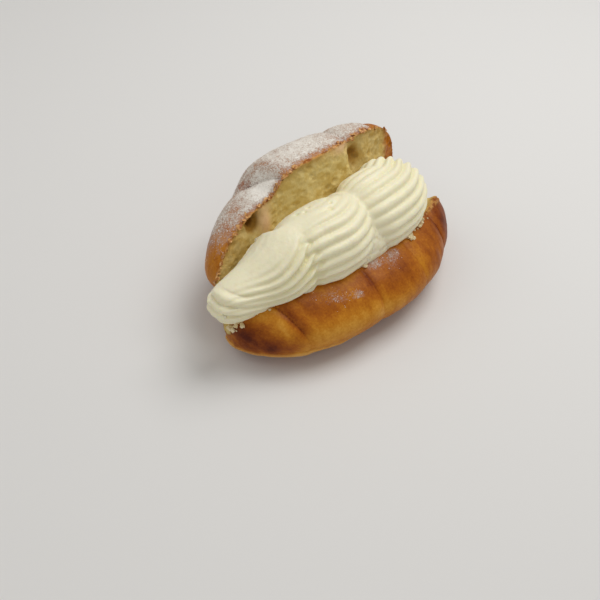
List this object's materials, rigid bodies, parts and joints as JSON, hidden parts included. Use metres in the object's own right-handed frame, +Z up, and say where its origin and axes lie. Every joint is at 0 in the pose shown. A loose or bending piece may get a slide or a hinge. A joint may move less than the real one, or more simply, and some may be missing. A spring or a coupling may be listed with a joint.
{
  "type": "cream-filled croissant",
  "caption": "Croissant slit along its front, its upper half raised, filled with overlapping piped ropes of ridged whipped cream and dusted with sugar.",
  "frame": {"origin": "middle of the bounding box in X and Y, on the surface that the croissant rests on", "axes": "+X along the roll towards its right end seen from the open front, +Y towards the uncut back, +Z up"},
  "size_m": [0.15, 0.099, 0.0657],
  "materials": {
    "baked_crust": "egg-washed baked crust, golden to deep brown, half glossy",
    "crumb": "soft torn crumb, matte",
    "whipped_cream": "piped whipped cream, smooth and softly glossy",
    "icing_sugar": "dusted powder sugar, matte"
  },
  "bodies": {
    "root": {"croissant": "baked_crust", "cream": "whipped_cream"}
  },
  "joints": []
}
